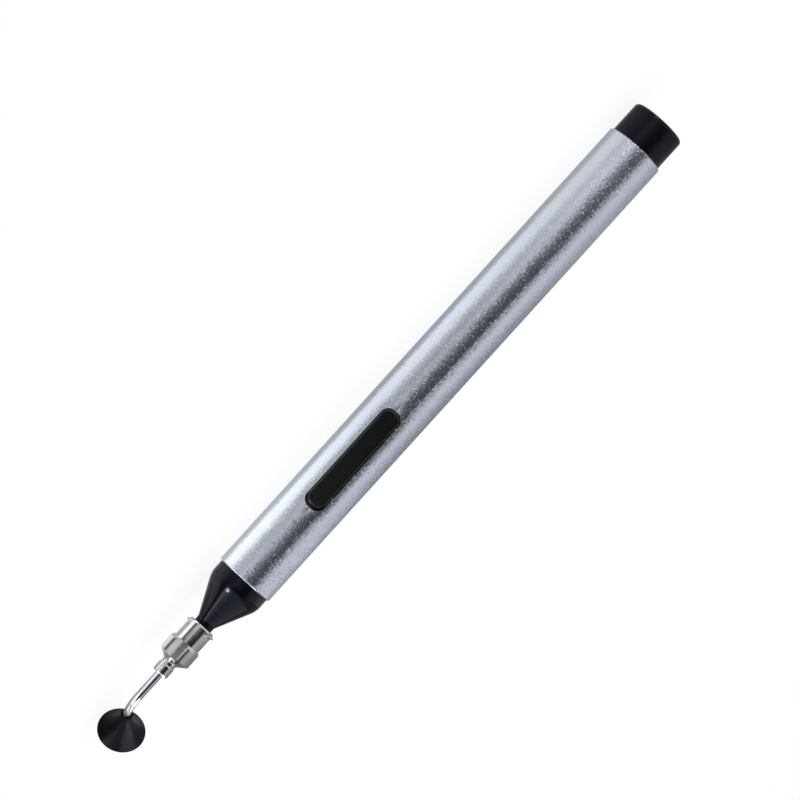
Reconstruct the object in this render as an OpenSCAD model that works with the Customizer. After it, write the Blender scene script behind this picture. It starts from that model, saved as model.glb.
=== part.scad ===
// Vacuum pick-up pen: its button squeezes a rubber bulb, and the cup on its bent needle then holds a chip.
// The pen's axis is X, with the tip towards +X. The origin is on the axis, at the rear rim of the barrel.
// The pen lies as it comes to rest: the barrel lies along the table, and the cup's rim stops it from rolling.

/* [Barrel] */
// Outer diameter of the barrel tube
barrel_d = 14; // [12:0.1:18]
// Wall of the barrel tube
barrel_wall = 0.8; // [0.5:0.05:1]
// Length of the barrel tube
barrel_len = 127; // [110:1:160]
// Chamfer round the rims of the barrel
rim_chamfer = 0.25; // [0.1:0.05:0.35]

/* [Button] */
// Length of the button along the barrel
button_len = 26.8; // [20:0.1:34]
// Width of the button
button_w = 4.4; // [3.6:0.1:5.2]
// Corner radius of the button, seen from above
button_corner = 1.8; // [1:0.1:2.1]
// Rounding of the button's top edge
button_edge = 0.5; // [0.2:0.1:0.7]
// How far the button stands proud of the barrel
button_proud = 0.9; // [0.6:0.1:1.4]
// Distance from the front rim of the barrel to the front end of the button
button_setback = 21.9; // [20:0.1:30]
// Clearance at the sides and the rear end of the button in its slot
slot_gap = 0.3; // [0.1:0.05:0.4]
// Clearance at the front end of the button in its slot
slot_front_gap = 0.8; // [0.2:0.1:1.2]
// How far the button's flange reaches under the barrel past the edge of the slot
flange_lip = 1; // [0.6:0.1:1.4]

/* [Nose cone] */
// Diameter of the nose cone at the barrel
nose_d = 13.1; // [12.6:0.1:13.4]
// Length of the nose cone from the barrel to its narrow neck
nose_len = 12.2; // [10:0.1:16]
// Distance from the barrel to where the cone would start if the shoulder had no rounding
shoulder_x = 3.36; // [2:0.1:4.5]
// Rounding of the shoulder
shoulder_r = 6; // [2:0.5:8]
// Length of the spigot inside the barrel
nose_spigot_len = 8; // [6:0.5:10]
// Wall of the spigot
nose_spigot_wall = 1.3; // [1:0.1:1.6]
// Diameter of the air passage
air_d = 1.9; // [1.4:0.1:2.2]

/* [Luer seat] */
// Diameter of the luer taper at the mouth of the needle hub
luer_d = 4.5; // [4.2:0.05:4.6]
// Length of the luer taper inside the needle hub
luer_len = 7.5; // [6:0.1:8]
// Change of diameter for each millimetre of the luer taper
luer_taper = 0.06; // [0.05:0.01:0.07]
// Length of neck that shows between the nose cone and the needle hub
neck_show = 1.2; // [0.6:0.1:2]

/* [Squeeze bulb] */
// Outer diameter of the bulb
bulb_d = 10; // [9:0.1:10.4]
// Wall of the bulb
bulb_wall = 1; // [0.7:0.1:1.4]
// Length of the bulb behind its neck
bulb_len = 46; // [40:1:60]
// Length of the barb that the bulb's neck is pushed on
barb_len = 8; // [6:0.5:9]
// Diameter of the barb between its ridges
barb_d = 4.4; // [4:0.1:5]
// Height of the barb's ridges
barb_ridge = 0.3; // [0.1:0.05:0.4]
// Wall of the bulb's neck
bulb_neck_wall = 1.1; // [0.8:0.1:1.2]

/* [End cap] */
// Diameter of the end cap
cap_d = 13; // [12.6:0.1:13.4]
// Length of the end cap behind the barrel
cap_len = 8; // [5:0.5:14]
// Rounding of the end cap's rear edge
cap_edge = 0.9; // [0.3:0.1:1.5]
// Length of the end cap's spigot inside the barrel
cap_spigot_len = 7; // [4:0.5:12]
// Wall of the end cap
cap_wall = 1.5; // [1:0.1:2]

/* [Needle hub] */
// Diameter over the two lugs
lug_d = 7.4; // [7:0.1:8]
// Width across the flats beside the lugs
lug_flat_w = 5; // [4.6:0.1:5.6]
// Thickness of the lugs at their foot
lug_t = 0.8; // [0.5:0.05:1]
// Width of the lugs' crest
lug_crest = 0.2; // [0.1:0.05:0.4]
// Distance from the hub's rear face to the middle of the lugs
lug_x = 0.8; // [0.6:0.05:1.2]
// Diameter of the rear cylinder
hub_rear_d = 6.4; // [6:0.1:6.8]
// Length of the rear cylinder
hub_rear_len = 5.1; // [3:0.1:7]
// Chamfer inside the mouth of the hub
mouth_chamfer = 0.25; // [0.1:0.05:0.4]
// Length of the bevel round the rear end of the hub
rear_bevel = 0.35; // [0.1:0.05:0.4]
// Diameter of the grip
grip_d = 7.6; // [7:0.1:8.4]
// Width across the flats of the grip
grip_flat_w = 6.5; // [6:0.1:7]
// Depth of the bevel along the edges of the flats
flat_bevel = 0.04; // [0.02:0.01:0.08]
// Length of the grip
grip_len = 4; // [3:0.1:6]
// Length of the bevel at the rear of the grip
grip_bevel = 0.6; // [0.2:0.05:0.8]
// Length of the cone in front of the grip
hub_cone_len = 1.5; // [1:0.1:3]
// Diameter of the groove behind the collar
groove_d = 3.4; // [3:0.1:3.6]
// Length of the groove behind the collar
groove_len = 0.75; // [0.4:0.05:1.5]
// Diameter of the collar
collar_d = 3.8; // [3.5:0.1:4.4]
// Length of the collar
collar_len = 2.55; // [1.5:0.05:4]
// Length of the bevel at both ends of the collar
collar_bevel = 0.3; // [0.1:0.05:0.5]
// Slope of the hub's bevels, from the axis
bevel_angle = 25; // [15:1:45]

/* [Needle] */
// Outer diameter of the needle
needle_d = 1.86; // [1.6:0.02:2.1]
// Wall of the needle
needle_wall = 0.25; // [0.15:0.01:0.3]
// Straight length from the collar to the bend
needle_straight = 6.4; // [3:0.1:15]
// Radius of the bend, at the middle of the needle
bend_r = 5.6; // [4:0.1:10]
// Angle of the bend
bend_angle = 60; // [40:1:75]
// Straight length that shows between the bend and the cup
needle_end_show = 0.2; // [0.1:0.1:4]
// Length of needle inside the cup's neck
needle_insert = 4.2; // [3:0.1:4.5]

/* [Suction cup] */
// Diameter of the cup's rim
cup_d = 10.7; // [9:0.1:12]
// Height of the cup from its rim to the top of its neck
cup_h = 8; // [7.5:0.1:9]
// Thickness of the rim's edge
cup_lip_t = 0.35; // [0.2:0.05:0.5]
// Width of the rim's flat sealing ring
cup_seal_w = 0.4; // [0.3:0.05:0.6]
// Depth of the hollow under the cup
cup_hollow = 2.8; // [2:0.1:3]
// Wall of the neck round the needle
cup_neck_wall = 0.4; // [0.3:0.05:0.6]
// Radius of the cup's flared back
cup_flare_r = 13; // [10:0.5:20]
// Turn of the tip on the luer taper, away from the side opposite the button
tip_turn = 12; // [-60:1:60]

/* [Fits] */
// Clearance of a fixed fit, on the radius
fit_gap = 0.02; // [0.01:0.01:0.05]
// Clearance of a fit that slides or turns, on the radius
run_gap = 0.04; // [0.02:0.01:0.08]

/* [Hidden] */
$fn = 96;
wide_arc_fn = 384;

// How far a cutting shape reaches past the face that it cuts
over = 0.5;
// Turn of the line where the tube's round faces start, away from the line that it lies on
tube_turn = 46;

// Barrel and button
barrel_r = barrel_d / 2;
bore_r = barrel_r - barrel_wall;
button_x = barrel_len - button_setback - button_len / 2;
slot_len = button_len + slot_gap + slot_front_gap;
slot_w = button_w + 2 * slot_gap;
slot_x = button_x + (slot_front_gap - slot_gap) / 2;
slot_corner = button_corner + slot_gap;

// The bulb lies on the wall opposite the button, so its axis is below the pen's
bulb_r = bulb_d / 2;
bulb_drop = bore_r - run_gap - bulb_r;
barb_r = barb_d / 2;
barb_front_x = barrel_len - nose_spigot_len;
barb_rear_x = barb_front_x - barb_len;
bulb_neck_r = barb_r + barb_ridge + bulb_neck_wall;

// Nose cone and luer taper
nose_r = nose_d / 2;
air_r = air_d / 2;
hub_x = nose_len + neck_show;
luer_tip_x = hub_x + luer_len;
function luer_r(x) = luer_d / 2 - (x - hub_x) * luer_taper / 2;
cone_slope = (nose_r - luer_r(nose_len)) / (nose_len - shoulder_x);
cone_angle = atan(cone_slope);
shoulder_tangent = shoulder_r * tan(cone_angle / 2);
shoulder_x0 = shoulder_x - shoulder_tangent;
shoulder_x1 = shoulder_x + shoulder_tangent * cos(cone_angle);
// The shoulder's arc is this much wider, so that it crosses the straight lines and doesn't only touch them
shoulder_lap = 0.01;

// Steps of the needle hub, from its rear face
grip_end_x = hub_rear_len + grip_len;
groove_x = grip_end_x + hub_cone_len;
collar_x = groove_x + groove_len;
hub_len = collar_x + collar_len;
// How far the lugs' ridge is sunk in the rear cylinder
lug_sink = 0.2;
socket_depth = luer_len + 2 * fit_gap + needle_wall;

// Needle, from the front rim of the barrel
needle_r = needle_d / 2;
needle_bore_r = needle_r - needle_wall;
needle_x0 = hub_x + socket_depth;
bend_x = hub_x + hub_len + needle_straight;
bend_end_x = bend_x + bend_r * sin(bend_angle);
bend_end_z = -bend_r * (1 - cos(bend_angle));
end_grind = 0.01;
end_lap = 0.05;

// Cup, with its rim's middle placed along the end of the needle
cup_r = cup_d / 2;
cup_reach = needle_end_show + cup_h;
cup_x = bend_end_x + cup_reach * cos(bend_angle);
cup_z = bend_end_z - cup_reach * sin(bend_angle);
cup_neck_r = needle_r + run_gap + cup_neck_wall;
cup_hollow_r = cup_r - cup_seal_w;
cup_dome_r = (cup_hollow_r ^ 2 + cup_hollow ^ 2) / (2 * cup_hollow);

// The pen rolls until the lowest point of the cup's rim is level with the lowest line of the barrel
rim_spread = (cup_r * sin(bend_angle)) ^ 2;
rest_root = (barrel_r * cup_z) ^ 2 - (cup_z ^ 2 + rim_spread) * (barrel_r ^ 2 - cup_r ^ 2);
rest_roll = acos((-barrel_r * cup_z - sqrt(rest_root)) / (cup_z ^ 2 + rim_spread));

// Turns a shape drawn round Z so that its axis runs along X, from x
module along_x(x) translate([x, 0, 0]) rotate([0, 90, 0]) children();

// Places what is drawn with the button on top
module pen_frame() rotate([rest_roll - tip_turn, 0, 0]) children();

// Places what is drawn with the needle bent downwards, from the front rim of the barrel
module tip_frame() rotate([rest_roll, 0, 0]) translate([barrel_len, 0, 0]) children();

// Places what is drawn round the bulb's own axis
module bulb_frame() pen_frame() translate([0, 0, -bulb_drop]) children();

// Flat rectangle with round corners
module round_rect(l, w, r) {
    square([l, w - 2 * r], center = true);
    square([l - 2 * r, w], center = true);
    for (x = [-1, 1], y = [-1, 1])
        translate([x * (l / 2 - r), y * (w / 2 - r)]) circle(r);
}

// Upright section with two rounded top corners
module soft_section(w, h, edge) {
    translate([-w / 2, 0]) square([w, h - edge]);
    translate([-w / 2 + edge, 0]) square([w - 2 * edge, h]);
    for (side = [-1, 1])
        translate([side * (w / 2 - edge), h - edge]) circle(edge);
}

// Slab with round corners and a rounded top edge
module soft_slab(l, w, h, r, edge) {
    rotate([90, 0, 90]) linear_extrude(l - 2 * r, center = true) soft_section(w, h, edge);
    rotate([90, 0, 0]) linear_extrude(w - 2 * r, center = true) soft_section(l, h, edge);
    for (x = [-1, 1], y = [-1, 1])
        translate([x * (l / 2 - r), y * (w / 2 - r), 0])
            rotate_extrude() intersection() {
                soft_section(2 * r, h, edge);
                square([r, h]);
            }
}

// Cylinder along X with a chamfer at both ends
module chamfered_bar(r, l, c)
    along_x(0) rotate_extrude()
        polygon([[0, 0], [r - c, 0], [r, c], [r, l - c], [r - c, l], [0, l]]);

module barrel() color("silver") difference() {
    rotate([tube_turn, 0, 0]) chamfered_bar(barrel_r, barrel_len, rim_chamfer);
    along_x(-over) cylinder(r = bore_r, h = barrel_len + 2 * over);
    pen_frame() translate([slot_x, 0, 0])
        linear_extrude(barrel_r + over) round_rect(slot_len, slot_w, slot_corner);
}

// Half outline of the nose cone's outside in front of the barrel, with its shoulder cut to an arc
module nose_outline() difference() {
    polygon([
        [0, 0], [nose_r, 0], [nose_r, shoulder_x],
        [luer_r(nose_len), nose_len], [luer_r(luer_tip_x), luer_tip_x], [0, luer_tip_x]
    ]);
    translate([nose_r - shoulder_r, shoulder_x0]) difference() {
        square([shoulder_r + over, shoulder_x1 - shoulder_x0]);
        circle(shoulder_r + shoulder_lap);
    }
}

// Barb on the bulb's axis, grown by a clearance, with two ridges on its rear two thirds and a stalk in front
module barb(grow, stalk) {
    ridge_len = barb_len / 3;
    low = barb_r + grow;
    high = low + barb_ridge;
    along_x(barb_rear_x) rotate_extrude() polygon([
        [0, 0], [low, 0], [high, ridge_len], [low, ridge_len], [high, 2 * ridge_len], [low, 2 * ridge_len],
        [low, barb_len + stalk], [0, barb_len + stalk]
    ]);
}

module nose_cone() color("#17181c") {
    pocket_r = bore_r - fit_gap - nose_spigot_wall;
    pen_frame() difference() {
        union() {
            along_x(barrel_len) rotate_extrude() nose_outline();
            difference() {
                along_x(barb_front_x) cylinder(r = bore_r - fit_gap, h = nose_spigot_len);
                along_x(barb_front_x - over) cylinder(r = pocket_r, h = nose_spigot_len + over);
            }
            translate([0, 0, -bulb_drop]) barb(0, nose_spigot_len);
        }
        along_x(barrel_len) cylinder(r = air_r, h = luer_tip_x + over);
        translate([0, 0, -bulb_drop])
            along_x(barb_rear_x - over) cylinder(r = air_r, h = barb_len + nose_spigot_len + air_d + over);
    }
}

module end_cap() color("#17181c") {
    cap_r = cap_d / 2;
    spigot_r = bore_r - fit_gap;
    pen_frame() difference() {
        union() {
            along_x(-cap_len) rotate_extrude() {
                translate([0, cap_edge]) square([cap_r, cap_len - cap_edge]);
                square([cap_r - cap_edge, cap_edge]);
                intersection() {
                    translate([cap_r - cap_edge, cap_edge]) circle(cap_edge);
                    square([cap_r, cap_edge]);
                }
            }
            along_x(0) cylinder(r = spigot_r, h = cap_spigot_len);
        }
        along_x(cap_wall - cap_len)
            cylinder(r = spigot_r - cap_wall, h = cap_len - cap_wall + cap_spigot_len + over);
    }
}

module button() color("#131416") {
    flange_len = slot_len + 2 * flange_lip;
    flange_w = slot_w + 2 * flange_lip;
    head_h = barrel_r + button_proud;
    pen_frame() difference() {
        union() {
            translate([button_x, 0, 0])
                soft_slab(button_len, button_w, head_h, button_corner, button_edge);
            intersection() {
                along_x(0) cylinder(r = bore_r - run_gap, h = barrel_len);
                translate([slot_x, 0, 0])
                    linear_extrude(barrel_r) round_rect(flange_len, flange_w, slot_corner + flange_lip);
            }
        }
        translate([0, 0, -bulb_drop]) along_x(0) cylinder(r = bulb_r + run_gap, h = barrel_len);
    }
}

// Half outline of a closed bulb body, from its neck's end to its round rear end
module bulb_outline(r, neck_x, end_x) {
    translate([0, end_x + r]) square([r, neck_x - end_x - 2 * r]);
    intersection() {
        union() {
            translate([0, end_x + r]) circle(r);
            translate([0, neck_x - r]) circle(r);
        }
        translate([0, end_x]) square([r, neck_x - end_x]);
    }
}

module squeeze_bulb() color("#2b2b2e") bulb_frame() difference() {
    union() {
        along_x(barb_rear_x) rotate_extrude() bulb_outline(bulb_r, 0, -bulb_len);
        along_x(barb_rear_x - bulb_r) cylinder(r = bulb_neck_r, h = barb_len + bulb_r - fit_gap);
    }
    along_x(barb_rear_x) rotate_extrude() bulb_outline(bulb_r - bulb_wall, -bulb_wall, bulb_wall - bulb_len);
    barb(fit_gap, 0);
    along_x(barb_rear_x - bulb_r) cylinder(r = air_r, h = bulb_r + over);
}

// How far a bevel of that length goes down
function bevel_drop(len) = len * tan(bevel_angle);

// Half outline of the rear cylinder of the hub
module hub_rear_outline() {
    r = hub_rear_d / 2;
    polygon([
        [0, 0], [r - bevel_drop(rear_bevel), 0], [r, rear_bevel], [r, hub_rear_len], [0, hub_rear_len]
    ]);
}

// Half outline of the ridge that is cut down to the two lugs
module lug_outline() {
    crest = lug_d / 2;
    root = hub_rear_d / 2 - lug_sink;
    foot = lug_t / 2 + lug_sink * (lug_t - lug_crest) / (lug_d - hub_rear_d);
    polygon([
        [0, lug_x - foot], [root, lug_x - foot], [crest, lug_x - lug_crest / 2],
        [crest, lug_x + lug_crest / 2], [root, lug_x + foot], [0, lug_x + foot]
    ]);
}

// Half outline of the hub from its grip to its collar
module grip_outline() {
    grip_r = grip_d / 2;
    groove_r = groove_d / 2;
    collar_r = collar_d / 2;
    collar_end_r = collar_r - bevel_drop(collar_bevel);
    polygon([
        [0, hub_rear_len], [grip_r - bevel_drop(grip_bevel), hub_rear_len],
        [grip_r, hub_rear_len + grip_bevel], [grip_r, grip_end_x],
        [groove_r, groove_x], [groove_r, collar_x],
        [collar_end_r, collar_x], [collar_r, collar_x + collar_bevel],
        [collar_r, hub_len - collar_bevel], [collar_end_r, hub_len], [0, hub_len]
    ]);
}

// Slab that leaves two flats, one above and one below the axis
module between_flats(w) translate([0, -lug_d, -w / 2]) cube([hub_len, 2 * lug_d, w]);

module needle_hub() color("#c9c7c2") tip_frame() translate([hub_x, 0, 0]) {
    // Turn from a flat to its edge, half of which is the turn of the bevel
    flat_turn = acos(grip_flat_w / grip_d);
    bevel_w = grip_d * cos(flat_turn / 2) - 2 * flat_bevel;
    mouth_r = luer_r(hub_x) + run_gap;
    difference() {
        union() {
            along_x(0) rotate_extrude() hub_rear_outline();
            intersection() {
                along_x(0) rotate_extrude() lug_outline();
                between_flats(lug_flat_w);
            }
            intersection() {
                along_x(0) rotate_extrude() grip_outline();
                between_flats(grip_flat_w);
                rotate([flat_turn / 2, 0, 0]) between_flats(bevel_w);
                rotate([-flat_turn / 2, 0, 0]) between_flats(bevel_w);
            }
        }
        along_x(0) cylinder(r1 = mouth_r, r2 = luer_r(hub_x + socket_depth) + run_gap, h = socket_depth);
        along_x(-over)
            cylinder(r1 = mouth_r + mouth_chamfer + over, r2 = mouth_r - over, h = mouth_chamfer + 2 * over);
        along_x(socket_depth - over) cylinder(r = needle_r + fit_gap, h = hub_len);
    }
}

// Section of the needle's tube, thinner on both faces where it is ground
module needle_section(thinner) difference() {
    circle(needle_r - thinner);
    circle(needle_bore_r + thinner);
}

// Drawn round the middle of the bend: the straight run, the bend and the ground end that the cup sits on
module needle() color("#d4d5d8")
    tip_frame() translate([bend_x, 0, -bend_r]) rotate([0, -90, -90]) {
        translate([bend_r, 0, 0]) rotate([90, 0, 0])
            linear_extrude(bend_x - needle_x0) needle_section(0);
        rotate_extrude(angle = bend_angle) translate([bend_r, 0]) needle_section(0);
        rotate([0, 0, bend_angle]) translate([bend_r, -end_lap, 0]) rotate([-90, 0, 0])
            linear_extrude(end_lap + needle_end_show + needle_insert) needle_section(end_grind);
    }

// Half outline of the cup's outside: a lip, a flared back and a neck
module cup_outline() {
    flare_start = [cup_r, cup_lip_t];
    flare_end = [cup_neck_r, cup_h];
    chord = flare_end - flare_start;
    half = norm(chord) / 2;
    across = [-chord[1], chord[0]] / norm(chord);
    middle = (flare_start + flare_end) / 2 - across * sqrt(cup_flare_r ^ 2 - half ^ 2);
    difference() {
        square([cup_r, cup_h]);
        translate(middle) circle(cup_flare_r, $fn = wide_arc_fn);
    }
}

module suction_cup() color("#141519")
    tip_frame() translate([cup_x, 0, cup_z]) rotate([0, bend_angle - 90, 0]) difference() {
        rotate_extrude() cup_outline();
        translate([0, 0, cup_hollow - cup_dome_r]) sphere(cup_dome_r);
        cylinder(r = needle_bore_r, h = cup_h);
        translate([0, 0, cup_h - needle_insert]) cylinder(r = needle_r + run_gap, h = needle_insert + over);
    }

barrel();
nose_cone();
end_cap();
button();
squeeze_bulb();
needle_hub();
needle();
suction_cup();
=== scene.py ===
"""Looks of a vacuum pick-up pen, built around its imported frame. Lengths are in metres."""

import math

import bpy
from mathutils import Matrix, Vector

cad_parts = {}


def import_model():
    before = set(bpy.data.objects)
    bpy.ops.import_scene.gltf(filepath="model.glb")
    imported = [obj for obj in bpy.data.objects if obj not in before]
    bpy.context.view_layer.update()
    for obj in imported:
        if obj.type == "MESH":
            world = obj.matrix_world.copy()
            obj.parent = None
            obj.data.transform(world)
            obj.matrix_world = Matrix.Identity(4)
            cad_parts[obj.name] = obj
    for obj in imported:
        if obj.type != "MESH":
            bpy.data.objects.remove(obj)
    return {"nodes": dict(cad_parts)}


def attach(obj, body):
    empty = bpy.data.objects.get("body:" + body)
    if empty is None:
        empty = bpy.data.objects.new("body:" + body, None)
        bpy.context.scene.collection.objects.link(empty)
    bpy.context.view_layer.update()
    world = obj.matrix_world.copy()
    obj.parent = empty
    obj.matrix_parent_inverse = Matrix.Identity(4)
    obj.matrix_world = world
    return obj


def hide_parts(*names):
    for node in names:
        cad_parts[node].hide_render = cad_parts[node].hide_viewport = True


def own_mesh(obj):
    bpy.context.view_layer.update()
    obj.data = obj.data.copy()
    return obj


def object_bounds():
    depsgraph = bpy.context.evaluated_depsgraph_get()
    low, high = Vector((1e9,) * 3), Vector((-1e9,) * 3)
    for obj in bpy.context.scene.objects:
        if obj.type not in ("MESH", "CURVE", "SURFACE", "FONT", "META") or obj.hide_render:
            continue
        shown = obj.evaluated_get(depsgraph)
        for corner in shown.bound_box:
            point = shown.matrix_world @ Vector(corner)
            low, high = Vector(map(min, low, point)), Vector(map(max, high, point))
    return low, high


# Directions across the pen: where the button faces, and where the camera stands
BUTTON_SIDE = Vector((0, -0.927536, 0.373734))
CAMERA_SIDE = Vector((0, -0.920872, 0.389865))

# Camera: the pen's axis slants up to the right in the picture
CAMERA_FOOT_X = 0.115
CAMERA_DISTANCE = 0.85
LOOK_AT = Vector((0.07524, -0.00048, -0.00114))
PEN_SLANT = math.radians(47.8)
LENS_MM = 175.77
SENSOR_MM = 36
CAMERA_NEAR = 0.05
CAMERA_FAR = 10

# Squeeze bulb inside the barrel
BULB_RADIUS = 0.005
BULB_LENGTH = 0.046
BULB_REAR_X = 0.065
BULB_DROP = 0.00116
BULB_END_STEPS = 8
NECK_RADIUS = 0.0036
NECK_LENGTH = 0.00798
NECK_LAP = 0.0035
TURN_STEPS = 48

# Slot for the button, whose long edges are rolled in a little
SLOT_MIDDLE_X = 0.09195
SLOT_HALF_LENGTH = 0.01395
SLOT_HALF_WIDTH = 0.0025
SLOT_CORNER = 0.0021
SLOT_ROLL_WIDTH = 0.0024
SLOT_ROLL_TILT = 0.11

# Noise values that the finishes use, as pairs of low and high
SMUDGE_RANGE = (0.35, 0.68)
GRAIN_RANGE = (0.3, 0.7)

# Sockets of a node that mixes two colours
MIX_FACTOR = 0
MIX_FIRST = 6
MIX_SECOND = 7
MIX_RESULT = 2

# Stage
FLOOR_HALF = 1.6
FLOOR_MATTE = 0.12
FLOOR_LIFT = 0.905
AMBIENT = 0.6
DOME_RADIUS = 0.6
DOME_CENTRE_X = 0.07
DOME_STEPS = 24
SOFTBOX_PLACE = Vector((0.06, 0.15, 0.6))
SOFTBOX_TARGET = Vector((0.06, 0, 0))
SOFTBOX_WIDTH = 0.9
SOFTBOX_LENGTH = 0.5
SOFTBOX_LEVEL = 0.9

# Light and shade painted on the floor, which only shiny pieces see: where each run blends in along the
# pen, then y and level.
# In order: rear, middle and front of the barrel, hub, its grip, its collar, needle and cup
FLOOR_RUNS = (
    (
        (-1, 0),
        (
            (-0.250, 0.72),
            (-0.040, 0.66),
            (-0.022, 0.58),
            (-0.0165, 0.62),
            (-0.0120, 0.78),
            (-0.0065, 0.76),
            (-0.0052, 0.48),
            (0.020, 0.37),
        ),
    ),
    (
        (0.010, 0.050),
        (
            (-0.250, 0.38),
            (-0.040, 0.37),
            (-0.022, 0.44),
            (-0.0165, 0.60),
            (-0.0120, 0.92),
            (-0.0065, 1.00),
            (-0.0052, 0.45),
            (0.020, 0.40),
        ),
    ),
    (
        (0.080, 0.115),
        (
            (-0.250, 0.57),
            (-0.040, 0.49),
            (-0.022, 0.47),
            (-0.0165, 0.62),
            (-0.0120, 1.16),
            (-0.0065, 1.35),
            (-0.0052, 0.60),
            (0.020, 0.45),
        ),
    ),
    (
        (0.130, 0.140),
        (
            (-0.250, 0.15),
            (-0.155, 0.17),
            (-0.130, 0.40),
            (-0.105, 0.80),
            (-0.080, 0.84),
            (-0.045, 0.56),
            (-0.028, 0.20),
            (-0.0125, 0.17),
            (-0.0105, 1.35),
            (-0.0055, 1.35),
            (-0.0042, 0.50),
            (0.0040, 0.60),
            (0.0080, 0.50),
        ),
    ),
    (
        (0.1460, 0.1468),
        (
            (-0.250, 0.16),
            (-0.0050, 0.10),
            (-0.0030, 1.10),
            (0.0000, 1.10),
            (0.0015, 0.50),
        ),
    ),
    (
        (0.1500, 0.1515),
        (
            (-0.250, 0.16),
            (-0.100, 0.20),
            (-0.0125, 0.17),
            (-0.0105, 1.20),
            (-0.0055, 1.20),
            (-0.0042, 0.50),
            (0.0040, 0.50),
            (0.0080, 0.40),
        ),
    ),
    (
        (0.156, 0.160),
        (
            (-0.250, 0.20),
            (-0.045, 0.50),
            (-0.028, 0.20),
            (-0.0125, 0.17),
            (-0.0105, 0.80),
            (-0.0055, 0.80),
            (-0.0042, 0.50),
            (0.0000, 0.30),
            (0.0080, 0.22),
        ),
    ),
)
FLOOR_TINT = (0.94, 0.97, 1)
# Glowing patches painted on the floor beside the tip and past both ends, which only shiny pieces see:
# range along the pen, range across it, how soft, level
FLOOR_GLOW_PATCHES = (
    ((0.150, 0.400), (-0.050, -0.014), 0.005, 1.4),
    ((0.160, 0.600), (-0.150, -0.016), 0.008, 2.6),
    ((-0.400, -0.045), (-0.300, -0.012), 0.010, 3.0),
    ((0.1465, 0.1585), (-0.142, -0.108), 0.004, 0.55),
    ((0.1465, 0.1585), (-0.190, -0.172), 0.004, 0.60),
)
# Small lit cards in front of the nose and over the cup: name, middle, half of each side, level
SMALL_CARDS = (
    ("nose_card", Vector((0.179, -0.066, 0)), Vector((0.0070, 0.0056, 0)), Vector((0, 0, 0.0075)), 42),
    ("cup_card", Vector((0.173, 0.007, 0.02)), Vector((0.009, 0, 0)), Vector((0, 0.013, 0)), 2.4),
)

# What they see above the floor: where each run blends in as a part of the radius,
# then degrees up from the horizon on the camera's side, and level.
# In order: far rear, cap, rear, middle and front of the barrel, tip, far end
DOME_RUNS = (
    (
        (-2, -1),
        (
            (0, 0.40),
            (60, 0.28),
            (120, 0.36),
            (180, 0.36),
        ),
    ),
    (
        (-0.50, -0.40),
        (
            (0, 0.84),
            (9, 0.80),
            (20, 0.52),
            (31, 0.28),
            (42, 0.14),
            (60, 0.08),
            (70, 0.24),
            (77, 0.42),
            (88, 0.58),
            (102, 0.60),
            (116, 0.48),
            (134, 0.34),
            (180, 0.22),
        ),
    ),
    (
        (-0.26, -0.23),
        (
            (0, 0.80),
            (9, 0.80),
            (20, 0.55),
            (31, 0.26),
            (42, 0.10),
            (60, 0.06),
            (70, 0.26),
            (77, 0.48),
            (88, 0.68),
            (102, 0.74),
            (116, 0.70),
            (134, 0.64),
            (152, 0.54),
            (180, 0.45),
        ),
    ),
    (
        (-0.22, -0.12),
        (
            (0, 0.42),
            (10, 0.41),
            (22, 0.16),
            (31, 0.05),
            (62, 0.03),
            (71, 0.18),
            (78, 0.48),
            (88, 0.66),
            (102, 0.66),
            (116, 0.49),
            (134, 0.31),
            (180, 0.24),
        ),
    ),
    (
        (0.02, 0.08),
        (
            (0, 0.80),
            (10, 0.95),
            (20, 0.76),
            (31, 0.42),
            (42, 0.16),
            (62, 0.03),
            (70, 0.20),
            (77, 0.48),
            (88, 0.74),
            (102, 0.84),
            (116, 0.95),
            (134, 0.97),
            (152, 0.64),
            (180, 0.32),
        ),
    ),
    (
        (0.12, 0.16),
        (
            (0, 0.58),
            (9, 0.56),
            (18, 0.12),
            (31, 0.04),
            (65, 0.02),
            (72, 0.20),
            (78, 0.44),
            (88, 0.50),
            (102, 0.44),
            (116, 0.34),
            (134, 0.28),
            (180, 0.24),
        ),
    ),
    (
        (0.40, 0.50),
        (
            (0, 0.30),
            (20, 0.12),
            (60, 0.10),
            (120, 0.10),
            (180, 0.20),
        ),
    ),
)
DOME_TINT = (0.91, 0.93, 1)
# Lights on the dome: range along the pen as a part of the radius, range of degrees,
# how soft each range is, level
DOME_LIGHTS = (
    ((0.70, 0.95), (-6, 30), (0.08, 15), 0.80),
    ((0.45, 0.94), (-6, 150), (0.15, 20), 0.90),
    ((0.89, 1.10), (-6, 140), (0.03, 20), 0.75),
    ((-1.30, -0.42), (-6, 150), (0.12, 25), 0.45),
)


def node_of(tree, kind, values=None, **settings):
    """A new node with its settings, and with values for its inputs by name or number."""
    node = tree.nodes.new(kind)
    for name, value in settings.items():
        setattr(node, name, value)
    for key, value in (values or {}).items():
        node.inputs[key].default_value = value
    return node


def maths(tree, operation, first, second=0.0):
    """The output of a maths node on two values, each another node's output or a number."""
    node = node_of(tree, "ShaderNodeMath", operation=operation)
    for socket, value in zip(node.inputs, (first, second)):
        if isinstance(value, bpy.types.NodeSocket):
            tree.links.new(value, socket)
        else:
            socket.default_value = value
    return node.outputs[0]


def map_range(tree, value, low, high, to_low, to_high):
    """The output of a node that maps one range of values to another."""
    node = node_of(tree, "ShaderNodeMapRange", {1: low, 2: high, 3: to_low, 4: to_high})
    tree.links.new(value, node.inputs["Value"])
    return node.outputs["Result"]


def blend_colours(tree, factor, first, second):
    """The output of a mix of two colours."""
    node = node_of(tree, "ShaderNodeMix", data_type="RGBA")
    node.inputs[MIX_FIRST].default_value = (*first, 1)
    node.inputs[MIX_SECOND].default_value = (*second, 1)
    tree.links.new(factor, node.inputs[MIX_FACTOR])
    return node.outputs[MIX_RESULT]


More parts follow.
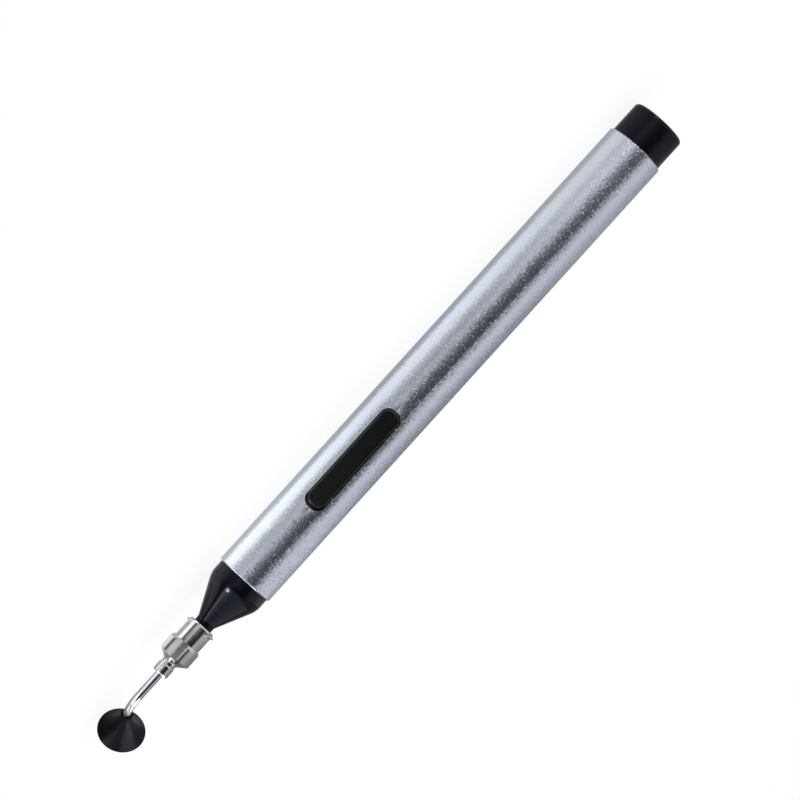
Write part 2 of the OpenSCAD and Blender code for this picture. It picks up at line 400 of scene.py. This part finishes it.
def new_group(name, inputs, outputs):
    """A new shader node group from names with default values or types, and its two end nodes."""
    group = bpy.data.node_groups.new(name, "ShaderNodeTree")
    for label, value in inputs.items():
        kind = "NodeSocketFloat" if isinstance(value, float) else "NodeSocketVector"
        socket = group.interface.new_socket(label, in_out="INPUT", socket_type=kind)
        socket.default_value = value
    for label, kind in outputs.items():
        group.interface.new_socket(label, in_out="OUTPUT", socket_type=kind)
    return group, node_of(group, "NodeGroupInput"), node_of(group, "NodeGroupOutput")


def counted_place(group, size):
    """The place on the object, counted in steps of that size."""
    place = node_of(group, "ShaderNodeTexCoord")
    counted = node_of(group, "ShaderNodeVectorMath", operation="DIVIDE")
    group.links.new(place.outputs["Object"], counted.inputs[0])
    group.links.new(size, counted.inputs[1])
    return counted.outputs["Vector"]


def grain_group():
    """Node group: fine grain, or streaks where its spacing differs by direction."""
    sockets = {"Height": "NodeSocketFloat"}
    group, inputs, outputs = new_group("grain", {"Spacing": (0.0002, 0.0002, 0.0002)}, sockets)
    noise = node_of(group, "ShaderNodeTexNoise", {"Scale": 1, "Detail": 2, "Roughness": 0.6})
    group.links.new(counted_place(group, inputs.outputs["Spacing"]), noise.inputs["Vector"])
    group.links.new(noise.outputs["Fac"], outputs.inputs["Height"])
    return group


def smudge_group():
    """Node group: soft uneven patches, as handling leaves them."""
    group, inputs, outputs = new_group("smudges", {"Size": 0.006}, {"Mask": "NodeSocketFloat"})
    noise = node_of(group, "ShaderNodeTexNoise", {"Scale": 1, "Detail": 3, "Distortion": 0.6})
    group.links.new(counted_place(group, inputs.outputs["Size"]), noise.inputs["Vector"])
    mask = map_range(group, noise.outputs["Fac"], *SMUDGE_RANGE, 0, 1)
    group.links.new(mask, outputs.inputs["Mask"])
    return group


def facet_group():
    """Node group: small facets, each with its own tilt and shade, of which a few are tilted far."""
    sockets = {"Normal": "NodeSocketVector", "Shade": "NodeSocketFloat"}
    group, inputs, outputs = new_group("facets", {"Size": 0.0003, "Tilt": 0.3}, sockets)
    cells = node_of(group, "ShaderNodeTexVoronoi", {"Scale": 1})
    group.links.new(counted_place(group, inputs.outputs["Size"]), cells.inputs["Vector"])
    centred = node_of(group, "ShaderNodeVectorMath", {1: (0.5, 0.5, 0.5)}, operation="SUBTRACT")
    group.links.new(cells.outputs["Color"], centred.inputs[0])
    shade = node_of(group, "ShaderNodeTexWhiteNoise")
    group.links.new(cells.outputs["Position"], shade.inputs["Vector"])
    rarely = maths(group, "POWER", shade.outputs["Value"], 2.0)
    tilted = node_of(group, "ShaderNodeVectorMath", operation="SCALE")
    group.links.new(centred.outputs["Vector"], tilted.inputs[0])
    group.links.new(maths(group, "MULTIPLY", inputs.outputs["Tilt"], rarely), tilted.inputs["Scale"])
    surface = node_of(group, "ShaderNodeNewGeometry")
    added = node_of(group, "ShaderNodeVectorMath", operation="ADD")
    group.links.new(surface.outputs["Normal"], added.inputs[0])
    group.links.new(tilted.outputs["Vector"], added.inputs[1])
    normal = node_of(group, "ShaderNodeVectorMath", operation="NORMALIZE")
    group.links.new(added.outputs["Vector"], normal.inputs[0])
    group.links.new(normal.outputs["Vector"], outputs.inputs["Normal"])
    group.links.new(shade.outputs["Value"], outputs.inputs["Shade"])
    return group


def grain(tree, spacing):
    """The height output of the grain group at that spacing."""
    node = node_of(tree, "ShaderNodeGroup", node_tree=GRAIN)
    node.inputs["Spacing"].default_value = spacing
    return node.outputs["Height"]


def smudges(tree, size):
    """The mask output of the smudge group at that size."""
    node = node_of(tree, "ShaderNodeGroup", node_tree=SMUDGES)
    node.inputs["Size"].default_value = size
    return node.outputs["Mask"]


def facets(tree, size, tilt):
    """The normal and shade outputs of the facet group at that size and tilt."""
    node = node_of(tree, "ShaderNodeGroup", node_tree=FACETS)
    node.inputs["Size"].default_value = size
    node.inputs["Tilt"].default_value = tilt
    return node.outputs["Normal"], node.outputs["Shade"]


def bump(tree, shader, height, distance):
    """Links a height to the shader's normal."""
    node = node_of(tree, "ShaderNodeBump", {"Distance": distance})
    tree.links.new(height, node.inputs["Height"])
    tree.links.new(node.outputs["Normal"], shader.inputs["Normal"])


def worn_finish(tree, shader, worn, dark, pale, smooth, rough):
    """Links a colour and a roughness that change with a mask of wear."""
    tree.links.new(blend_colours(tree, worn, dark, pale), shader.inputs["Base Color"])
    tree.links.new(map_range(tree, worn, 0, 1, smooth, rough), shader.inputs["Roughness"])


def new_material(name):
    """A new empty node material, its tree and its linked Principled shader."""
    material = bpy.data.materials.new(name)
    material.use_nodes = True
    tree = material.node_tree
    tree.nodes.clear()
    shader = node_of(tree, "ShaderNodeBsdfPrincipled")
    output = node_of(tree, "ShaderNodeOutputMaterial")
    tree.links.new(shader.outputs["BSDF"], output.inputs["Surface"])
    return material, tree, shader


def past_slot(tree, offset, half):
    """How far a place is past the straight part of one side of the slot."""
    past = maths(tree, "SUBTRACT", maths(tree, "ABSOLUTE", offset), half - SLOT_CORNER)
    return maths(tree, "MAXIMUM", past, 0.0)


def along_direction(tree, vector, direction):
    """The length of a vector along a direction."""
    node = node_of(tree, "ShaderNodeVectorMath", {1: direction}, operation="DOT_PRODUCT")
    tree.links.new(vector, node.inputs[0])
    return node.outputs["Value"]


def rolled_slot(tree, normal):
    """A normal that leans to the slot beside its long edges, where the wall is rolled in."""
    place = node_of(tree, "ShaderNodeTexCoord").outputs["Object"]
    slot_across = BUTTON_SIDE.cross(Vector((1, 0, 0)))
    across = along_direction(tree, place, slot_across)
    along = maths(tree, "SUBTRACT", along_direction(tree, place, (1, 0, 0)), SLOT_MIDDLE_X)
    past_end = past_slot(tree, along, SLOT_HALF_LENGTH)
    past_side = past_slot(tree, across, SLOT_HALF_WIDTH)
    end_square = maths(tree, "POWER", past_end, 2.0)
    side_square = maths(tree, "POWER", past_side, 2.0)
    reach = maths(tree, "SQRT", maths(tree, "ADD", end_square, side_square))
    lean = map_range(tree, reach, SLOT_CORNER, SLOT_CORNER + SLOT_ROLL_WIDTH, SLOT_ROLL_TILT, 0)
    near = maths(tree, "GREATER_THAN", along_direction(tree, place, BUTTON_SIDE), 0.0)
    towards = maths(tree, "MULTIPLY", maths(tree, "SIGN", across), -1.0)
    turned = maths(tree, "MULTIPLY", maths(tree, "MULTIPLY", lean, near), towards)
    rolled = node_of(tree, "ShaderNodeVectorMath", {0: slot_across}, operation="SCALE")
    tree.links.new(turned, rolled.inputs["Scale"])
    added = node_of(tree, "ShaderNodeVectorMath", operation="ADD")
    tree.links.new(normal, added.inputs[0])
    tree.links.new(rolled.outputs["Vector"], added.inputs[1])
    leaning = node_of(tree, "ShaderNodeVectorMath", operation="NORMALIZE")
    tree.links.new(added.outputs["Vector"], leaning.inputs[0])
    return leaning.outputs["Vector"]


def blasted_aluminium():
    """Fine sand-blasted and anodised aluminium, which sparkles where its reflections change."""
    material, tree, shader = new_material("blasted_aluminium")
    normal, shade = facets(tree, size=0.00022, tilt=0.42)
    worn = smudges(tree, size=0.009)
    dark = (0.75, 0.775, 0.845)
    pale = (0.845, 0.87, 0.94)
    tree.links.new(blend_colours(tree, shade, dark, pale), shader.inputs["Base Color"])
    shader.inputs["Metallic"].default_value = 1
    roughness = map_range(tree, worn, 0, 1, to_low=0.21, to_high=0.25)
    tree.links.new(roughness, shader.inputs["Roughness"])
    tree.links.new(rolled_slot(tree, normal), shader.inputs["Normal"])
    return material


def gloss_plastic():
    """Glossy moulded black plastic with a faint ripple."""
    material, tree, shader = new_material("black_gloss_plastic")
    worn = smudges(tree, size=0.004)
    dark = (0.0035, 0.0038, 0.0058)
    pale = (0.0055, 0.0058, 0.0085)
    worn_finish(tree, shader, worn, dark, pale, smooth=0.10, rough=0.16)
    shader.inputs["Specular IOR Level"].default_value = 0.25
    shader.inputs["Specular Tint"].default_value = (0.74, 0.8, 1, 1)
    ripple = grain(tree, spacing=(0.0009, 0.0009, 0.0009))
    bump(tree, shader, ripple, distance=0.00001)
    return material


def button_plastic():
    """Satin black plastic."""
    material, tree, shader = new_material("black_button_plastic")
    worn = smudges(tree, size=0.003)
    dark = (0.0018, 0.0019, 0.0023)
    pale = (0.003, 0.0031, 0.0036)
    worn_finish(tree, shader, worn, dark, pale, smooth=0.16, rough=0.24)
    shader.inputs["Specular IOR Level"].default_value = 0.38
    fine = grain(tree, spacing=(0.0003, 0.0003, 0.0003))
    bump(tree, shader, fine, distance=0.000006)
    return material


def rubber(name, dark, pale, smooth, rough):
    """Moulded black rubber with a fine grain."""
    material, tree, shader = new_material(name)
    worn = smudges(tree, size=0.0025)
    worn_finish(tree, shader, worn, dark, pale, smooth, rough)
    shader.inputs["Specular IOR Level"].default_value = 0.2
    shader.inputs["Specular Tint"].default_value = (0.82, 0.82, 1, 1)
    fine = grain(tree, spacing=(0.0003, 0.0003, 0.0003))
    bump(tree, shader, fine, distance=0.000008)
    return material


def nickel_plate():
    """Polished nickel plate over turned and milled brass, with lines round and across the axis."""
    material, tree, shader = new_material("nickel_plate")
    lines = grain(tree, spacing=(0.0003, 0.006, 0.006))
    worn = smudges(tree, size=0.002)
    shader.inputs["Metallic"].default_value = 1
    dark = (0.70, 0.68, 0.66)
    pale = (0.80, 0.78, 0.765)
    tree.links.new(blend_colours(tree, worn, dark, pale), shader.inputs["Base Color"])
    roughness = map_range(tree, lines, *GRAIN_RANGE, to_low=0.015, to_high=0.04)
    tree.links.new(roughness, shader.inputs["Roughness"])
    bump(tree, shader, lines, distance=0.000004)
    return material


def needle_steel():
    """Drawn and polished stainless tube, with streaks along it."""
    material, tree, shader = new_material("needle_steel")
    streaks = grain(tree, spacing=(0.006, 0.0003, 0.0003))
    shader.inputs["Metallic"].default_value = 1
    dark = (0.70, 0.71, 0.73)
    pale = (0.84, 0.85, 0.87)
    tree.links.new(blend_colours(tree, streaks, dark, pale), shader.inputs["Base Color"])
    roughness = map_range(tree, streaks, *GRAIN_RANGE, to_low=0.08, to_high=0.16)
    tree.links.new(roughness, shader.inputs["Roughness"])
    bump(tree, shader, streaks, distance=0.000004)
    return material


def dress(node, material):
    """Gives a CAD node its finish."""
    slots = frame["nodes"][node].data.materials
    slots.clear()
    slots.append(material)


def turned_piece(name, outline, axis_offset, material):
    """A closed turned piece whose axis runs along X, from pairs of x and radius."""
    points = []
    faces = []
    count = len(outline)
    for i in range(TURN_STEPS):
        angle = math.radians(360) * i / TURN_STEPS
        for x, radius in outline:
            place = Vector((x, radius * math.cos(angle), radius * math.sin(angle)))
            points.append(axis_offset + place)
    for i in range(TURN_STEPS):
        j = (i + 1) % TURN_STEPS
        for k in range(count - 1):
            faces.append((i * count + k, i * count + k + 1, j * count + k + 1, j * count + k))
    faces.append([i * count for i in range(TURN_STEPS)])
    faces.append([i * count + count - 1 for i in reversed(range(TURN_STEPS))])
    mesh = bpy.data.meshes.new(name)
    mesh.from_pydata(points, [], faces)
    mesh.shade_smooth()
    mesh.materials.append(material)
    made = bpy.data.objects.new(name, mesh)
    bpy.context.scene.collection.objects.link(made)
    return made


def bulb_outline():
    """Pairs of x and radius along the bulb's body, which has two round ends."""
    middle = BULB_REAR_X + BULB_LENGTH / 2
    reach = BULB_LENGTH / 2 - BULB_RADIUS
    count = 2 * BULB_END_STEPS + 1
    outline = []
    for i in range(count):
        turn = math.radians(180) * (i + 0.5) / count
        side = -1 if i <= BULB_END_STEPS else 1
        x = middle + side * reach - BULB_RADIUS * math.cos(turn)
        outline.append((x, BULB_RADIUS * math.sin(turn)))
    return outline


def squeeze_bulb(material):
    """The bulb in two pieces: its body, which gets a mesh of its own, and its neck, which stays on the
    barb.
    """
    axis_offset = -BULB_DROP * BUTTON_SIDE
    front_x = BULB_REAR_X + BULB_LENGTH
    neck_outline = [(front_x - NECK_LAP, NECK_RADIUS), (front_x + NECK_LENGTH, NECK_RADIUS)]
    body = turned_piece("bulb_body", bulb_outline(), axis_offset, material)
    neck = turned_piece("bulb_neck", neck_outline, axis_offset, material)
    for piece in (body, neck):
        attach(piece, "barrel")
        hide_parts("squeeze_bulb")
    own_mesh(body)


def camera():
    """The camera, at the photograph's angle."""
    data = bpy.data.cameras.new("camera")
    data.lens = LENS_MM
    data.sensor_width = SENSOR_MM
    data.clip_start = CAMERA_NEAR
    data.clip_end = CAMERA_FAR
    made = bpy.data.objects.new("camera", data)
    bpy.context.scene.collection.objects.link(made)
    bpy.context.scene.camera = made
    place = Vector((CAMERA_FOOT_X, 0, 0)) + CAMERA_DISTANCE * CAMERA_SIDE
    back = (place - LOOK_AT).normalized()
    across = CAMERA_SIDE.cross(Vector((1, 0, 0)))
    up = Vector((-math.sin(PEN_SLANT), 0, 0)) - math.cos(PEN_SLANT) * across
    right = up.cross(back).normalized()
    turn = Matrix((right, back.cross(right), back)).transposed().to_4x4()
    made.matrix_world = Matrix.Translation(place) @ turn


def stage_mesh(name, points, faces, material):
    """A mesh object on the stage."""
    mesh = bpy.data.meshes.new(name)
    mesh.from_pydata(points, [], faces)
    mesh.materials.append(material)
    made = bpy.data.objects.new(name, mesh)
    bpy.context.scene.collection.objects.link(made)
    return made


def mirrored_only(made):
    """Hides a stage object from every ray but those that shiny pieces mirror."""
    for ray in ("camera", "diffuse", "shadow", "transmission", "volume_scatter"):
        setattr(made, f"visible_{ray}", False)


def stage_material(name):
    """A new empty material for the stage, and its tree."""
    material = bpy.data.materials.new(name)
    material.use_nodes = True
    material.node_tree.nodes.clear()
    return material, material.node_tree


def axes_of(tree, vector):
    """The three outputs of a vector's parts."""
    node = node_of(tree, "ShaderNodeSeparateXYZ")
    tree.links.new(vector, node.inputs["Vector"])
    return node.outputs["X"], node.outputs["Y"], node.outputs["Z"]


def level_ramp(tree, value, stops):
    """A run of grey levels over a value, given as pairs of value and level."""
    low, high = stops[0][0], stops[-1][0]
    node = node_of(tree, "ShaderNodeValToRGB")
    elements = node.color_ramp.elements
    while len(elements) < len(stops):
        elements.new(0.5)
    for element, (at, level) in zip(elements, stops):
        element.position = (at - low) / (high - low)
        element.color = (level, level, level, 1)
    tree.links.new(map_range(tree, value, low, high, 0, 1), node.inputs["Fac"])
    return node.outputs["Color"]


def window(tree, value, limits, soft):
    """One between two values and nought outside them, with soft edges."""
    low, high = limits
    rise = map_range(tree, value, low, low + soft, 0, 1)
    fall = map_range(tree, value, high - soft, high, 1, 0)
    return maths(tree, "MULTIPLY", rise, fall)


def patch(tree, first, second, level):
    """A soft-edged patch of that level, from two sets of value, limits and softness."""
    shape = maths(tree, "MULTIPLY", window(tree, *first), window(tree, *second))
    return maths(tree, "MULTIPLY", shape, level)


def blended_runs(tree, along, value, runs):
    """Level ramps over a value, each of which blends in over its range along the pen."""
    blended = 0.0
    for limits, stops in runs:
        ramp = level_ramp(tree, value, stops)
        share = map_range(tree, along, *limits, 0, 1)
        kept = maths(tree, "MULTIPLY", blended, maths(tree, "SUBTRACT", 1.0, share))
        blended = maths(tree, "ADD", kept, maths(tree, "MULTIPLY", ramp, share))
    return blended


def floor_painted_light(tree, x, y):
    """Light and shade painted on the floor for shiny pieces to mirror: a bright strip beside the pen,
    and glowing patches.
    """
    seen = blended_runs(tree, x, y, FLOOR_RUNS)
    # Glowing patches painted on the floor, added on top of the painted runs
    for x_limits, y_limits, soft, level in FLOOR_GLOW_PATCHES:
        glow_patch = patch(tree, (x, x_limits, soft), (y, y_limits, soft), level)
        seen = maths(tree, "ADD", seen, glow_patch)
    return seen


def floor_material():
    """White floor that keeps the shadow, and that has light and shade painted on it where shiny pieces
    see it.
    """
    material, tree = stage_material("floor")
    path = node_of(tree, "ShaderNodeLightPath")
    place = node_of(tree, "ShaderNodeTexCoord")
    x, y = axes_of(tree, place.outputs["Object"])[:2]
    grey = (FLOOR_MATTE, FLOOR_MATTE, FLOOR_MATTE, 1)
    matte = node_of(tree, "ShaderNodeBsdfDiffuse", {"Color": grey})
    lift = node_of(tree, "ShaderNodeEmission")
    lifted = map_range(tree, path.outputs["Is Camera Ray"], 0, 1, 0, FLOOR_LIFT)
    tree.links.new(lifted, lift.inputs["Strength"])
    lit = node_of(tree, "ShaderNodeAddShader")
    tree.links.new(matte.outputs[0], lit.inputs[0])
    tree.links.new(lift.outputs[0], lit.inputs[1])
    # The floor's painted light and shade, which only glossy rays see
    mirrored = node_of(tree, "ShaderNodeEmission", {"Color": (*FLOOR_TINT, 1)})
    tree.links.new(floor_painted_light(tree, x, y), mirrored.inputs["Strength"])
    choice = node_of(tree, "ShaderNodeMixShader")
    tree.links.new(path.outputs["Is Glossy Ray"], choice.inputs[0])
    tree.links.new(lit.outputs[0], choice.inputs[1])
    tree.links.new(mirrored.outputs[0], choice.inputs[2])
    output = node_of(tree, "ShaderNodeOutputMaterial")
    tree.links.new(choice.outputs[0], output.inputs["Surface"])
    return material


def floor(height):
    """The floor under the pen."""
    half = FLOOR_HALF
    corners = [
        (-half, -half, height),
        (half, -half, height),
        (half, half, height),
        (-half, half, height),
    ]
    stage_mesh("floor", corners, [(0, 1, 2, 3)], floor_material())


def dome_material(height):
    """A pale front, a dark gap, a light top, and lights past both ends of the pen."""
    material, tree = stage_material("studio_dome")
    place = node_of(tree, "ShaderNodeTexCoord")
    centre = (DOME_CENTRE_X, 0, height)
    offset = node_of(tree, "ShaderNodeVectorMath", {1: centre}, operation="SUBTRACT")
    tree.links.new(place.outputs["Object"], offset.inputs[0])
    ray = node_of(tree, "ShaderNodeVectorMath", operation="NORMALIZE")
    tree.links.new(offset.outputs["Vector"], ray.inputs[0])
    x, y, z = axes_of(tree, ray.outputs["Vector"])
    to_camera = maths(tree, "MULTIPLY", y, -1.0)
    degrees = maths(tree, "DEGREES", maths(tree, "ARCTAN2", z, to_camera))
    seen = blended_runs(tree, x, degrees, DOME_RUNS)
    for x_limits, turn_limits, (x_soft, turn_soft), level in DOME_LIGHTS:
        light = patch(tree, (x, x_limits, x_soft), (degrees, turn_limits, turn_soft), level)
        seen = maths(tree, "ADD", seen, light)
    glow = node_of(tree, "ShaderNodeEmission", {"Color": (*DOME_TINT, 1)})
    tree.links.new(seen, glow.inputs["Strength"])
    output = node_of(tree, "ShaderNodeOutputMaterial")
    tree.links.new(glow.outputs[0], output.inputs["Surface"])
    return material


def studio_dome(height):
    """A half sphere round the pen that only shiny pieces see."""
    points = []
    faces = []
    around = 2 * DOME_STEPS
    for ring in range(DOME_STEPS + 1):
        up = math.radians(90) * ring / DOME_STEPS
        flat = DOME_RADIUS * math.cos(up)
        lift = DOME_RADIUS * math.sin(up)
        for i in range(around):
            turn = math.radians(360) * i / around
            points.append((DOME_CENTRE_X + flat * math.cos(turn), flat * math.sin(turn), height + lift))
    for ring in range(DOME_STEPS):
        low = ring * around
        high = low + around
        for i in range(around):
            j = (i + 1) % around
            faces.append((low + i, low + j, high + j, high + i))
    mirrored_only(stage_mesh("studio_dome", points, faces, dome_material(height)))


def small_card(name, middle, along, across, level):
    """A lit card near the pen, which only shiny pieces see."""
    material, tree = stage_material(name)
    glow = node_of(tree, "ShaderNodeEmission", {"Color": (*DOME_TINT, 1), "Strength": level})
    output = node_of(tree, "ShaderNodeOutputMaterial")
    tree.links.new(glow.outputs[0], output.inputs["Surface"])
    corners = [
        middle - along - across,
        middle + along - across,
        middle + along + across,
        middle - along + across,
    ]
    mirrored_only(stage_mesh(name, corners, [(0, 1, 2, 3)], material))


def world():
    """White behind everything that is seen or mirrored, and an even soft light on the rest."""
    made = bpy.data.worlds.new("studio")
    bpy.context.scene.world = made
    made.use_nodes = True
    tree = made.node_tree
    tree.nodes.clear()
    path = node_of(tree, "ShaderNodeLightPath")
    seen = maths(tree, "MAXIMUM", path.outputs["Is Camera Ray"], path.outputs["Is Glossy Ray"])
    clear = maths(tree, "MAXIMUM", seen, path.outputs["Is Transmission Ray"])
    light = node_of(tree, "ShaderNodeBackground", {"Color": (1, 1, 1, 1)})
    tree.links.new(map_range(tree, clear, 0, 1, AMBIENT, 1), light.inputs["Strength"])
    output = node_of(tree, "ShaderNodeOutputWorld")
    tree.links.new(light.outputs[0], output.inputs["Surface"])


def softbox():
    """A rectangular soft lamp over the pen, which the dome stands in for in reflections."""
    data = bpy.data.lights.new("overhead_softbox", "AREA")
    data.shape = "RECTANGLE"
    data.size = SOFTBOX_WIDTH
    data.size_y = SOFTBOX_LENGTH
    data.energy = SOFTBOX_LEVEL * math.pi * SOFTBOX_WIDTH * SOFTBOX_LENGTH
    made = bpy.data.objects.new("overhead_softbox", data)
    bpy.context.scene.collection.objects.link(made)
    made.location = SOFTBOX_PLACE
    made.rotation_euler = (SOFTBOX_TARGET - SOFTBOX_PLACE).to_track_quat("-Z", "Y").to_euler()
    made.visible_glossy = False


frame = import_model()
cad_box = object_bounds()
bpy.context.scene.view_settings.view_transform = "Standard"

GRAIN = grain_group()
SMUDGES = smudge_group()
FACETS = facet_group()
camera()
floor(cad_box[0].z)
world()
studio_dome(cad_box[0].z)
for glow_patch in SMALL_CARDS:
    small_card(*glow_patch)
softbox()

dress("barrel", blasted_aluminium())
shiny = gloss_plastic()
dress("nose_cone", shiny)
dress("end_cap", shiny)
dress("button", button_plastic())
bulb_rubber = rubber(
    "bulb_rubber",
    dark=(0.015, 0.015, 0.017),
    pale=(0.025, 0.025, 0.027),
    smooth=0.55,
    rough=0.7,
)
dress("squeeze_bulb", bulb_rubber)
squeeze_bulb(bulb_rubber)
cup_rubber = rubber(
    "cup_rubber",
    dark=(0.0011, 0.0012, 0.0018),
    pale=(0.0019, 0.002, 0.0028),
    smooth=0.28,
    rough=0.36,
)
dress("suction_cup", cup_rubber)
dress("needle_hub", nickel_plate())
dress("needle", needle_steel())
